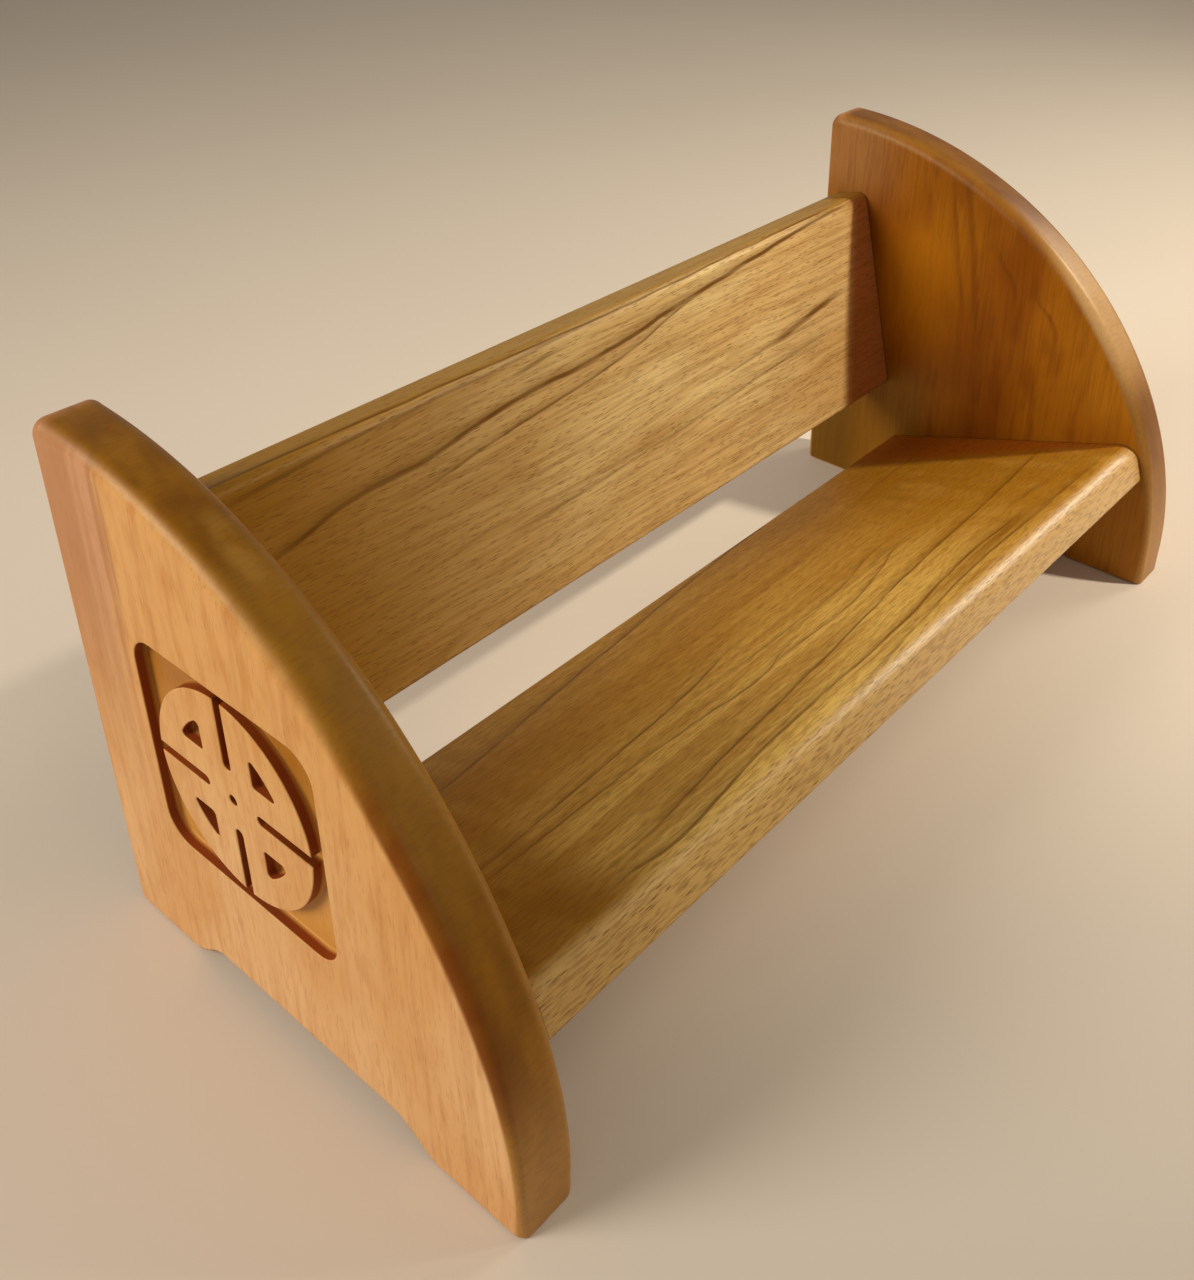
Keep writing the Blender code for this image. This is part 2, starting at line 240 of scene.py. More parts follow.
class Wire:
    """An output socket of a node tree. Arithmetic on it adds Math nodes."""

    def __init__(self, nodes, socket):
        self.nodes = nodes
        self.socket = socket

    def maths(self, operation, first, second=0.0):
        return self.nodes.add("ShaderNodeMath", {"operation": operation}, {0: first, 1: second})

    def __add__(self, other):
        return self.maths("ADD", self, other)

    __radd__ = __add__

    def __sub__(self, other):
        return self.maths("SUBTRACT", self, other)

    def __rsub__(self, other):
        return self.maths("SUBTRACT", other, self)

    def __mul__(self, other):
        return self.maths("MULTIPLY", self, other)

    __rmul__ = __mul__

    def __truediv__(self, other):
        return self.maths("DIVIDE", self, other)

    def __abs__(self):
        return self.maths("ABSOLUTE", self)


class Nodes:
    """A node tree to which nodes are added one at a time."""

    def __init__(self, tree):
        self.tree = tree

    def add(self, kind, settings=None, values=None, output=0):
        """Adds a node, sets it up, gives its sockets values or links, and returns one output."""
        node = self.tree.nodes.new(kind)
        for name, setting in (settings or {}).items():
            if name == "curve_points":
                self.shape_curve(node, setting)
            else:
                setattr(node, name, setting)
        for key, value in (values or {}).items():
            self.feed(node.inputs[key], value)
        return Wire(self, node.outputs[output])

    def feed(self, socket, value):
        if isinstance(value, Wire):
            self.tree.links.new(value.socket, socket)
        else:
            socket.default_value = value

    def shape_curve(self, node, points):
        curve = node.mapping.curves[0]
        for place, height in points[1:-1]:
            curve.points.new(place, height)
        for end, point in ((0, points[0]), (-1, points[-1])):
            curve.points[end].location = point
        node.mapping.update()


class Finish(Nodes):
    """A material's nodes, with the patterns that the finishes share."""

    def __init__(self, name):
        self.material = bpy.data.materials.new(name)
        self.material.use_nodes = True
        super().__init__(self.material.node_tree)
        self.shader = self.tree.nodes["Principled BSDF"]

    def place(self, origin=(0, 0, 0), turn=(0, 0, 0)):
        """Object coordinates from an origin, along turned axes."""
        coordinates = self.add("ShaderNodeTexCoord", output="Object")
        values = {"Vector": coordinates, "Location": origin, "Rotation": turn}
        return self.add("ShaderNodeMapping", {"vector_type": "TEXTURE"}, values)

    def axes(self, place):
        return [self.add("ShaderNodeSeparateXYZ", None, {0: place}, axis) for axis in "XYZ"]

    def cells(self, place, cell, seed):
        """Coordinates that count cells of these lengths along the three axes."""
        values = {"Vector": place, "Location": (seed, seed, seed), "Scale": cell}
        return self.add("ShaderNodeMapping", {"vector_type": "TEXTURE"}, values)

    def noise(self, place, cell, detail=2.0, seed=0.0):
        """Soft noise from 0 to 1."""
        values = {"Vector": self.cells(place, cell, seed), "Scale": 1.0, "Detail": detail}
        return self.add("ShaderNodeTexNoise", None, values)

    def rise(self, value, low, high):
        """0 below low, 1 above high, and a smooth step between them."""
        values = {"Value": value, "From Min": low, "From Max": high}
        return self.add("ShaderNodeMapRange", {"interpolation_type": "SMOOTHSTEP"}, values)

    def fall(self, value, low, high):
        """1 below low, 0 above high, and a smooth step between them."""
        return 1 - self.rise(value, low, high)

    def between(self, value, start, end):
        """0, then 1, then 0 again, with smooth steps over the ranges start and end."""
        return self.rise(value, *start) * self.fall(value, *end)

    def mix(self, share, first, second):
        settings = {"data_type": "RGBA"}
        return self.add("ShaderNodeMix", settings, {0: share, 6: first, 7: second}, 2)

    def mesh_value(self, name):
        """A number that the piece's mesh carries on its points."""
        return self.add("ShaderNodeAttribute", {"attribute_name": name}, None, "Fac")

    def paint(self, base, roughness):
        self.feed(self.shader.inputs["Base Color"], base)
        self.feed(self.shader.inputs["Roughness"], roughness)

    def relief(self, height, depth):
        """Bumps: height is from 0 to 1, and depth is what 1 stands for in metres."""
        bump = self.add("ShaderNodeBump", None, {"Strength": 1.0, "Distance": depth, "Height": height})
        self.feed(self.shader.inputs["Normal"], bump)


def arc(centre, radius, start, stop, steps):
    angles = [start + (stop - start) * i / steps for i in range(steps + 1)]
    return [(centre[0] + radius * math.cos(a), centre[1] + radius * math.sin(a)) for a in angles]


def add_piece(name, data):
    """Links a finished mesh as the piece that stands for the node of the same name."""
    piece = bpy.data.objects.new(name + "_look", data)
    bpy.context.scene.collection.objects.link(piece)
    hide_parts(name)
    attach(piece, "root")
    return piece


# End panels


def rim_radius(turn):
    """Round-over on the oval: turn is 0 at the front foot and a quarter turn at the top."""
    at_foot = math.cos(turn) ** ROUND_FADE
    at_top = math.sin(turn) ** ROUND_FADE
    return ROUND_CURVE - (ROUND_CURVE - ROUND_FOOT) * at_foot - (ROUND_CURVE - ROUND_TOP) * at_top


def rim_row(from_back, height, outward, radius):
    """An outline row: its place, how far the rim takes it back and up, and how far across."""
    return from_back, height, -radius * math.cos(outward), -radius * math.sin(outward), radius


def corner_rows(centre, radius, start, first_round, last_round):
    """Outline rows of a rounded corner, whose outward direction turns by a quarter from start."""
    rows = []
    for i in range(CORNER_STEPS + 1):
        share = i / CORNER_STEPS
        angle = start + QUARTER * share
        point = arc(centre, radius, angle, angle, 1)[0]
        rows.append(rim_row(*point, angle, first_round + (last_round - first_round) * share))
    return rows


def toe_rows():
    """Outline rows of the front foot's corner, which keeps its shape as the rim takes it back."""
    centre = (END_DEPTH - TOE_CORNER, TOE_CORNER)
    rows = [rim_row(END_DEPTH - TOE_EASE, 0, 3 * QUARTER, ROUND_BOTTOM)]
    for point in arc(centre, TOE_CORNER, 3 * QUARTER, 4 * QUARTER, CORNER_STEPS):
        rows.append((*point, -ROUND_TOE, ROUND_BOTTOM, ROUND_TOE))
    return rows


def ogee_rows(from_back, direction):
    """Outline rows of one end of the arch: direction is 1 where it rises and -1 where it falls."""
    rows = []
    for i in range(OGEE_STEPS + 1):
        share = i / OGEE_STEPS
        rise = share if direction > 0 else 1 - share
        height = ARCH_HEIGHT * (1 - math.cos(math.pi * rise)) / 2
        slope = direction * ARCH_HEIGHT * math.pi * math.sin(math.pi * rise) / (2 * ARCH_EASE)
        rows.append(rim_row(from_back + ARCH_EASE * share, height, math.atan2(-1, slope), ROUND_BOTTOM))
    return rows


def oval_rows(last_from_back):
    """Outline rows of the quarter oval, from the front foot up and back to last_from_back."""
    rise = END_HEIGHT - FRONT_RISE
    last_turn = math.acos(last_from_back / END_DEPTH)
    rows = []
    for i in range(OVAL_STEPS + 1):
        turn = last_turn * i / OVAL_STEPS
        point = (END_DEPTH * math.cos(turn), FRONT_RISE + rise * math.sin(turn))
        outward = math.atan2(math.sin(turn) / rise, math.cos(turn) / END_DEPTH)
        rows.append(rim_row(*point, outward, rim_radius(turn)))
    return rows


def end_outline():
    """Outline rows once round the panel, from its rear foot by the front to its top."""
    back_corner = max(ROUND_BACK, ROUND_BOTTOM) + CORNER_EXTRA
    top_corner = max(ROUND_BACK, ROUND_TOP) + CORNER_EXTRA
    rows = corner_rows((back_corner, back_corner), back_corner, math.pi, ROUND_BACK, ROUND_BOTTOM)
    rows += ogee_rows(FOOT_LENGTH, 1)
    rows += ogee_rows(END_DEPTH - FOOT_LENGTH - ARCH_EASE, -1)
    rows += toe_rows()
    oval = oval_rows(top_corner)
    rows += oval
    top_centre = (top_corner, oval[-1][1] - top_corner)
    rows += corner_rows(top_centre, top_corner, QUARTER, ROUND_TOP, ROUND_BACK)[1:]
    return rows


def recess_outline(ease):
    """The recess round the disc, wider by ease."""
    half_y = DISC_RADIUS + CHANNEL_BESIDE - RECESS_CORNER
    half_z = DISC_RADIUS + CHANNEL_ABOVE - RECESS_CORNER
    corners = ((half_y, half_z), (-half_y, half_z), (-half_y, -half_z), (half_y, -half_z))
    points = []
    for i, corner in enumerate(corners):
        points += arc(corner, RECESS_CORNER + ease, i * QUARTER, (i + 1) * QUARTER, CORNER_STEPS)
    return points


def slotted_disc_outline(ease):
    """The disc's rim, running in and out of the four slots, with the wood narrower by ease."""
    half = SLOT_WIDTH / 2 + ease
    radius = DISC_RADIUS - ease
    lost = math.asin(half / radius)
    points = []
    for i in range(4):
        points += arc((0, 0), radius, i * QUARTER + lost, (i + 1) * QUARTER - lost, DISC_QUARTER_STEPS)
        along = (i + 1) * QUARTER
        reach = SLOT_START + SLOT_WIDTH / 2
        inner = (reach * math.cos(along), reach * math.sin(along))
        points += arc(inner, half, along - QUARTER, along - 3 * QUARTER, CORNER_STEPS)
    return points


def pocket_outline(quarter, ease):
    """One pocket of the disc, wider by ease: two straight sides and an arc about the disc's centre."""
    corner = POCKET_CORNER + ease
    near = POCKET_OFFSET + POCKET_CORNER
    far = math.sqrt((POCKET_RADIUS - POCKET_CORNER) ** 2 - near ** 2)
    spread = math.atan2(near, far)
    points = arc((near, near), corner, math.pi, 3 * QUARTER, CORNER_STEPS)
    points += arc((far, near), corner, -QUARTER, spread, CORNER_STEPS)
    points += arc((0, 0), POCKET_RADIUS + ease, spread, QUARTER - spread, CORNER_STEPS)[1:-1]
    points += arc((near, far), corner, QUARTER - spread, math.pi, CORNER_STEPS)
    turn = quarter * QUARTER
    return [
        (y * math.cos(turn) - z * math.sin(turn), y * math.sin(turn) + z * math.cos(turn))
        for y, z in points
    ]


def hole_outline(ease):
    return arc((0, 0), CENTRE_HOLE_RADIUS + ease, 0, 2 * math.pi, CIRCLE_STEPS)[:-1]


def carving_levels():
    """How wide a cut is and how deep, from the lip at the face down to the fillet at the floor."""
    levels = []
    for i in range(LIP_STEPS + 1):
        lean = QUARTER * i / LIP_STEPS
        levels.append((CARVING_LIP * (1 - math.sin(lean)), CARVING_LIP * (1 - math.cos(lean))))
    for i in range(LIP_STEPS + 1):
        lean = QUARTER * i / LIP_STEPS
        left = CARVING_FILLET * (1 - math.sin(lean))
        levels.append((CARVING_FILLET * (math.cos(lean) - 1), CARVING_DEPTH - left))
    return levels


def add_strip(mesh, rings, layer, marks):
    """Joins rings into a smooth strip, marks each ring's points, and returns the rings' points."""
    loops = []
    for ring, value in zip(rings, marks):
        loop = [mesh.verts.new(point) for point in ring]
        for point in loop:
            point[layer] = value
        loops.append(loop)
    for near, far in zip(loops, loops[1:]):
        for i in range(len(near)):
            face = mesh.faces.new((near[i - 1], near[i], far[i], far[i - 1]))
            face.smooth = True
    return loops


def fill_between(mesh, *loops):
    """A flat face inside the first loop and outside the others."""
    edges = [mesh.edges.get((loop[i - 1], loop[i])) for loop in loops for i in range(len(loop))]
    bmesh.ops.triangle_fill(mesh, edges=edges, use_beauty=True)


def add_cut(mesh, layer, side, outline):
    """One wall of the carving, from the face down. Returns its upper and lower loops."""
    face = side * (BETWEEN_ENDS / 2 + END_THICKNESS)
    middle = (END_DEPTH / 2 - CARVING_INSET, CARVING_HEIGHT)
    rings = []
    marks = []
    for ease, depth in carving_levels():
        x = face - side * depth
        rings.append([(x, middle[0] + y, middle[1] + z) for y, z in outline(ease)])
        marks.append(depth / CARVING_DEPTH)
    loops = add_strip(mesh, rings, layer, marks)
    return loops[0], loops[-1]


def add_rim(mesh, layer, side):
    """The panel's rounded rim. Returns the loops of its inner and outer faces."""
    centre = side * (BETWEEN_ENDS + END_THICKNESS) / 2
    outline = end_outline()
    rings = []
    marks = []
    for face in (-side, side):
        for i in range(RIM_STEPS + 1):
            step = i if face == -side else RIM_STEPS - i
            lean = QUARTER * step / RIM_STEPS
            inward = 1 - math.sin(lean)
            ring = []
            for from_back, height, rim_back, rim_up, rim_across in outline:
                x = centre + face * (END_THICKNESS / 2 - rim_across * (1 - math.cos(lean)))
                y = END_DEPTH / 2 - (from_back + rim_back * inward)
                ring.append((x, y, height + rim_up * inward))
            rings.append(ring)
            marks.append(step / RIM_STEPS)
    loops = add_strip(mesh, rings, layer, marks)
    return loops[0], loops[-1]


def end_panel(word, side, finish):
    mesh = bmesh.new()
    rim = mesh.verts.layers.float.new("rim")
    carved = mesh.verts.layers.float.new("carved")
    inner, outer = add_rim(mesh, rim, side)
    recess_top, recess_floor = add_cut(mesh, carved, side, recess_outline)
    disc_top, disc_floor = add_cut(mesh, carved, side, slotted_disc_outline)
    tops = []
    floors = []
    for quarter in range(4):
        top, floor = add_cut(mesh, carved, side, lambda ease: pocket_outline(quarter, ease))
        tops.append(top)
        floors.append(floor)
    hole_top, hole_floor = add_cut(mesh, carved, side, hole_outline)
    fill_between(mesh, inner)
    fill_between(mesh, outer, recess_top)
    fill_between(mesh, recess_floor, disc_floor)
    fill_between(mesh, disc_top, hole_top, *tops)
    for floor in (hole_floor, *floors):
        fill_between(mesh, floor)
    bmesh.ops.recalc_face_normals(mesh, faces=mesh.faces)
    name = word + "_end_panel"
    data = bpy.data.meshes.new(name)
    mesh.to_mesh(data)
    mesh.free()
    data.materials.append(finish.material)
    return add_piece(name, data)


# Boards


def corner_round(depth, height):
    """The name of the board tree's input for one corner's radius."""
    return f"{depth} {height} Round"


def board_tree():
    """Geometry nodes that run a rounded board profile along X and lean it about its placing edge."""
    tree = bpy.data.node_groups.new("board", "GeometryNodeTree")
    kinds = dict.fromkeys(("Length", "Front", "Rear", "Bottom", "Top", "Lean"), "NodeSocketFloat")
    for corner in BOARD_CORNERS:
        kinds[corner_round(*corner)] = "NodeSocketFloat"
    kinds["Place"] = "NodeSocketVector"
    kinds["Finish"] = "NodeSocketMaterial"
    for name, kind in kinds.items():
        tree.interface.new_socket(name=name, in_out="INPUT", socket_type=kind)
    tree.interface.new_socket(name="Board", in_out="OUTPUT", socket_type="NodeSocketGeometry")
    nodes = Nodes(tree)
    group_input = tree.nodes.new("NodeGroupInput")
    given = {socket.name: Wire(nodes, socket) for socket in group_input.outputs}

    board = shade_flats(nodes, sweep(nodes, board_profile(nodes, given), given["Length"]))
    upright = given["Lean"] + math.pi  # because the sweep turns the profile upside down
    turn = nodes.add("ShaderNodeCombineXYZ", None, {"X": upright})
    values = {"Geometry": board, "Translation": given["Place"], "Rotation": turn}
    board = nodes.add("GeometryNodeTransform", None, values)
    board = nodes.add("GeometryNodeRealizeInstances", None, {"Geometry": board})
    values = {"Geometry": board, "Material": given["Finish"]}
    board = nodes.add("GeometryNodeSetMaterial", None, values)
    nodes.feed(tree.nodes.new("NodeGroupOutput").inputs["Board"], board)
    return tree


def board_profile(nodes, given):
    """A rectangle with its four corners rounded, each by its own radius."""
    corners = {}
    for i, (depth, height) in enumerate(BOARD_CORNERS):
        corner = nodes.add("ShaderNodeCombineXYZ", None, {"X": given[depth], "Y": given[height]})
        corners[f"Point {i + 1}"] = corner
    profile = nodes.add("GeometryNodeCurvePrimitiveQuadrilateral", {"mode": "POINTS"}, corners)
    radius = choose_by_index(nodes, [given[corner_round(*corner)] for corner in BOARD_CORNERS])
    values = {"Curve": profile, "Radius": radius, "Count": BOARD_ROUND_STEPS}
    return nodes.add("GeometryNodeFilletCurve", {"mode": "POLY"}, values)


def sweep(nodes, profile, length):
    """A closed solid of this length along X, with its middle at the origin."""
    half = length / 2
    ends = {"Start": nodes.add("ShaderNodeCombineXYZ", None, {"X": half * -1})}
    ends["End"] = nodes.add("ShaderNodeCombineXYZ", None, {"X": half})
    path = nodes.add("GeometryNodeCurvePrimitiveLine", {"mode": "POINTS"}, ends)
    values = {"Curve": path, "Profile Curve": profile, "Fill Caps": True}
    return nodes.add("GeometryNodeCurveToMesh", None, values)


def shade_flats(nodes, board):
    """Shades the big faces flat and the narrow ones of the round-overs smooth."""
    area = nodes.add("GeometryNodeInputMeshFaceArea")
    values = {0: area, 1: FLAT_FACE_AREA}
    narrow = nodes.add("FunctionNodeCompare", {"operation": "LESS_THAN"}, values)
    values = {"Geometry": board, "Shade Smooth": narrow}
    return nodes.add("GeometryNodeSetShadeSmooth", {"domain": "FACE"}, values)


def choose_by_index(nodes, choices):
    """A field that takes the first choice at point 0, the second at point 1, and so on."""
    switch = nodes.tree.nodes.new("GeometryNodeIndexSwitch")
    switch.data_type = "FLOAT"
    while len(switch.index_switch_items) < len(choices):
        switch.index_switch_items.new()
    nodes.feed(switch.inputs["Index"], nodes.add("GeometryNodeInputIndex"))
    for i, choice in enumerate(choices):
        nodes.feed(switch.inputs[str(i)], choice)
    return Wire(nodes, switch.outputs[0])


def board(name, tree, sizes, finish, slot):
    """Runs the board tree with these sizes and keeps its result as a plain mesh."""
    maker = bpy.data.objects.new(name + "_maker", bpy.data.meshes.new(name + "_maker"))
    bpy.context.scene.collection.objects.link(maker)
    modifier = maker.modifiers.new("board", "NODES")
    modifier.node_group = tree
    given = {"Length": BETWEEN_ENDS - 2 * JOINT_GAP, "Finish": finish.material, **sizes}
    for socket in tree.interface.items_tree:
        if socket.in_out == "INPUT":
            modifier[socket.identifier] = given[socket.name]
    evaluated = maker.evaluated_get(bpy.context.evaluated_depsgraph_get())
    data = bpy.data.meshes.new_from_object(evaluated)
    bpy.data.objects.remove(maker)
    data.name = name
    return add_piece(name, data)


def shelf_board(tree, finish):
    sizes = {
        "Front": -SHELF_WIDTH,
        "Rear": 0.0,
        "Bottom": -SHELF_THICKNESS,
        "Top": 0.0,
        "Lean": -SHELF_TILT,
        "Place": SHELF_PLACE,
        "Rear Top Round": SHELF_REAR_ROUND,
        "Front Top Round": SHELF_FRONT_ROUND,
        "Front Bottom Round": SHELF_LOWER_ROUND,
        "Rear Bottom Round": SHELF_REAR_ROUND,
    }
    return board("shelf_board", tree, sizes, finish, "shelf_beech")


def back_board(tree, finish):
    sizes = {
        "Front": 0.0,
        "Rear": BACK_THICKNESS,
        "Bottom": 0.0,
        "Top": BACK_WIDTH,
        "Lean": -BACK_TILT,
        "Place": BACK_PLACE,
        "Rear Top Round": BACK_UPPER_ROUND,
        "Front Top Round": BACK_UPPER_ROUND,
        "Front Bottom Round": BACK_LOWER_ROUND,
        "Rear Bottom Round": BACK_LOWER_ROUND,
    }
    return board("back_board", tree, sizes, finish, "back_beech")


def dowels(finish):
    """The dowels keep their own solids, in bare wood."""
    for name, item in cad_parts.items():
        if "dowel" in name:
            for slot in item.material_slots:
                slot.material = finish.material


# Finishes


class Beech(Finish):
    """Oiled beech: patterns that follow the grain of one piece."""

    def __init__(self, name, origin, turn, seed):
        super().__init__(name)
        self.shader.inputs["Specular Tint"].default_value = OIL_TINT
        self.shader.inputs["Specular IOR Level"].default_value = OIL_SHINE
        self.shader.inputs["Coat Roughness"].default_value = POLISH_ROUGHNESS
        self.seed = seed
        self.spot = self.place(origin, turn)
        self.along, self.across, self.through = self.axes(self.spot)
        drift = self.noise(self.spot, GRAIN_DRIFT_CELL, 1.0, seed) - 0.5
        wavy = {"X": self.along, "Y": self.across + GRAIN_DRIFT * drift, "Z": self.through}
        self.grain = self.add("ShaderNodeCombineXYZ", None, wavy)

    def marks(self, cell, low, high, detail=1.0):
        """Marks along the grain: the higher low and high are, the fewer and smaller the marks."""
        return self.rise(self.noise(self.grain, cell, detail, self.seed), low, high)

    def pores(self, cell, size):
        """Short dashes along the grain, one to a cell: size is their reach as a share of the cell."""
        values = {"Vector": self.cells(self.grain, cell, self.seed), "Scale": 1.0}
        away = self.add("ShaderNodeTexVoronoi", None, values)
        return self.fall(away, 0.4 * size, size)

    def seams(self, base):
        """Oil and dust gathered where a board meets the ends."""
        seam = self.rise(abs(self.along), BETWEEN_ENDS / 2 - SEAM_WIDTH, BETWEEN_ENDS / 2)
        return self.mix(SEAM_SHARE * seam, base, colour(84, 30, 0))

    def polish(self, share):
        """Extra shine where the edges are worn smooth."""
        self.feed(self.shader.inputs["Coat Weight"], share)

    def growth_lines(self, start, length, height, width, lines):
        """Dark lines on a face that runs from start along the grain, with height counted across it.

        Where lines cross, the darker one shows.
        """
        share = (self.along - start) / length
        wobble = self.noise(self.spot, LINE_WOBBLE_CELL, 1.0, self.seed) - 0.5
        height = height + LINE_WOBBLE * wobble
        total = 0.0
        for strength, core, skirt, points in lines:
            course = [(u * MILLIMETRE / length, v * MILLIMETRE / width) for u, v in points]
            off = height - width * self.course_height(share, course)
            line = strength * self.growth_line(off, core * MILLIMETRE, skirt * MILLIMETRE)
            line = line * self.between(share, *self.tapers(course))
            total = line.maths("MAXIMUM", line, total)
        return total * (1 - LINE_BREAK + LINE_BREAK * self.marks(LINE_BREAK_CELL, 0.35, 0.6))

    def course_height(self, share, course):
        """The height of a line that runs through the points of course, level beyond its ends."""
        points = [(0, course[0][1])] + course + [(1, course[-1][1])]
        return self.add("ShaderNodeFloatCurve", {"curve_points": points}, {"Value": share})

    def tapers(self, course):
        """The ranges over which a line comes in and goes out."""
        return [(course[i][0] - LINE_TAPER, course[i][0] + LINE_TAPER) for i in (0, -1)]

    def growth_line(self, off, core, skirt):
        """A line by the distance off it: a dark core, and a side that fades out above it."""
        dark = self.fall(abs(off), 0.25 * core, core)
        soft = LINE_SKIRT * self.between(off, (-core, 0.0), (0.0, skirt))
        return dark.maths("MAXIMUM", dark, soft)


def back_finish():
    """Tan, darker to the left as painted shade, with a painted red-brown shadow at the right end and dense
    short flecks.

    Brown lines run along its upper part, and its top edge is darker olive as painted shade with a painted
    green reflection.
    """
    wood = Beech("back_finish", BACK_PLACE, (QUARTER - BACK_TILT, 0, 0), seed=3.1)
    # painted shade: the tan darkens towards the left end
    left = wood.fall(wood.along, -0.20, 0.04)
    tan = wood.mix(left, colour(222, 188, 124), colour(152, 100, 8))
    patches = wood.marks((0.10, 0.03, 0.03), 0.40, 0.65)
    tan = wood.mix(0.36 * patches, tan, colour(190, 140, 70))
    streaks = wood.marks((0.12, 0.0045, 0.0045), 0.44, 0.66, detail=2.0)
    tan = wood.mix(0.34 * streaks, tan, colour(160, 112, 46))
    right = wood.rise(wood.along, 0.07, 0.16)
    tan = wood.mix(0.30 * right, tan, colour(186, 130, 60))
    # painted shadow of the right end panel, red-brown from painted bounce light off that panel
    painted_shadow_end = wood.rise(wood.along - 0.26 * wood.across, 0.164, 0.178)
    painted_shadow_end = painted_shadow_end * wood.rise(wood.through, -0.014, -0.004)
    tan = wood.mix(0.80 * painted_shadow_end, tan, colour(158, 68, 6))
    over = wood.across - wood.through  # up the front face, then back over the top edge
    # painted shade and a painted green reflection: the top edge turns darker olive
    top = wood.rise(over, BACK_WIDTH, BACK_WIDTH + 0.003) * wood.rise(wood.through, -0.021, -0.017)
    tan = wood.mix(0.75 * top, tan, colour(150, 104, 2))
    girth = BACK_WIDTH + BACK_THICKNESS
    lines = wood.growth_lines(-BETWEEN_ENDS / 2, BETWEEN_ENDS, over, girth, BACK_LINES)
    tan = wood.mix(lines, tan, colour(100, 56, 0))
    fibre = wood.marks((0.020, 0.0009, 0.0009), 0.40, 0.66)
    tan = wood.mix(0.32 * fibre, tan, colour(128, 80, 20))
    flecks = wood.pores((0.0080, 0.0008, 0.0008), 0.32)
    tan = wood.mix(0.62 * flecks, tan, colour(108, 62, 10))
    wood.paint(wood.seams(tan), 0.42 + 0.10 * flecks)
    wood.relief(1 - flecks, BACK_PORE_DEPTH)
    return wood


def shelf_finish():
    """Honey brown, darker to the left as painted shade and paler along the front as painted light, with wavy
    dark lines and soft cross figure.

    Its front edge is paler, flecked and worn smooth, and a painted red-brown shadow lies at its right end.
    """
    wood = Beech("shelf_finish", SHELF_PLACE, (-SHELF_TILT, 0, 0), seed=7.4)
    inward = wood.across + SHELF_WIDTH  # from the front edge
    # painted shade: the honey darkens towards the left end
    left = wood.fall(wood.along, -0.21, -0.02)
    honey = wood.mix(left, colour(190, 140, 48), colour(142, 92, 0))
    right = wood.rise(wood.along, 0.0, 0.16)
    honey = wood.mix(0.85 * right, honey, colour(152, 100, 18))
    # painted light: paler honey along the front, fading out before both ends
    painted_front_light = wood.fall(inward, 0.02, 0.10) * (1 - right) * wood.rise(wood.along, -0.180, -0.140)
    honey = wood.mix(0.95 * painted_front_light, honey, colour(230, 186, 94))
    cross_figure = wood.marks((0.012, 0.05, 0.05), 0.42, 0.70)
    honey = wood.mix(0.25 * cross_figure, honey, colour(208, 158, 72))
    bands = wood.marks((0.20, 0.010, 0.02), 0.42, 0.64, detail=2.0)
    honey = wood.mix(0.55 * bands, honey, colour(160, 106, 18))
    streaks = wood.marks((0.06, 0.0022, 0.004), 0.44, 0.68, detail=2.0)
    honey = wood.mix(0.36 * streaks, honey, colour(146, 92, 12))
    # painted shadow of the right end panel, red-brown from painted bounce light
    painted_shadow_end = wood.rise(wood.along + 0.3 * wood.across, 0.160, 0.178)
    painted_shadow_end = painted_shadow_end * wood.rise(wood.through, -0.004, -0.001)
    honey = wood.mix(0.80 * painted_shadow_end, honey, colour(168, 78, 2))
    lines = wood.growth_lines(-BETWEEN_ENDS / 2, BETWEEN_ENDS, inward, SHELF_WIDTH, SHELF_LINES)
    honey = wood.mix(0.85 * lines, honey, colour(100, 54, 0))
    front = wood.fall(inward, 0.2 * SHELF_FRONT_ROUND, 0.8 * SHELF_FRONT_ROUND)
    honey = wood.mix(0.8 * front, honey, colour(204, 162, 96))
    dashes = wood.pores((0.0085, 0.0010, 0.0010), 0.29)
    honey = wood.mix(0.70 * front * dashes, honey, colour(84, 46, 10))
    flecks = wood.marks((0.007, 0.0008, 0.0008), 0.42, 0.68)
    honey = wood.mix(0.40 * flecks, honey, colour(120, 70, 12))
    wood.polish(front * wood.rise(wood.along, -0.10, 0.02))
    wood.paint(wood.seams(honey), 0.38 + 0.10 * flecks)
    wood.relief(1 - flecks, PORE_DEPTH)
    return wood


def end_finish(word, side):
    """Pale faces outside, redder wood inside partly as painted shade, dark end grain round the rim with a
    painted highlight, carving browned partly as painted shade.
    """
    middle = (side * (BETWEEN_ENDS + END_THICKNESS) / 2, 0, 0)
    wood = Beech(word + "_end_finish", middle, (0, -QUARTER, 0), END_SEEDS[word])
    wear_and_sheen = RIM_WEAR_AND_SHEEN[word]
    outward = wood.through * (-2 * side / END_THICKNESS)  # -1 at the inner face, 1 at the outer
    outside = wood.rise(outward, -0.2, 0.2)
    face = wood.mix(outside, inner_face(wood), carving(wood, outer_face(wood)))
    high = wood.rise(wood.along, 0.13, 0.18)
    rim = wood.rise(wood.mesh_value("rim"), 0.15 * high, 0.28 + 0.57 * high)
    face = wood.mix(rim, face, rim_grain(wood, outward, wear_and_sheen))
    flecks = wood.pores((0.010, 0.0009, 0.0009), 0.26)
    face = wood.mix(0.25 * flecks * (1 - rim), face, colour(120, 60, 14))
    wood.polish(wear_and_sheen["polish"] * rim)
    wood.paint(face, 0.40 + 0.08 * flecks)
    wood.relief(1 - flecks, PORE_DEPTH)
    return wood


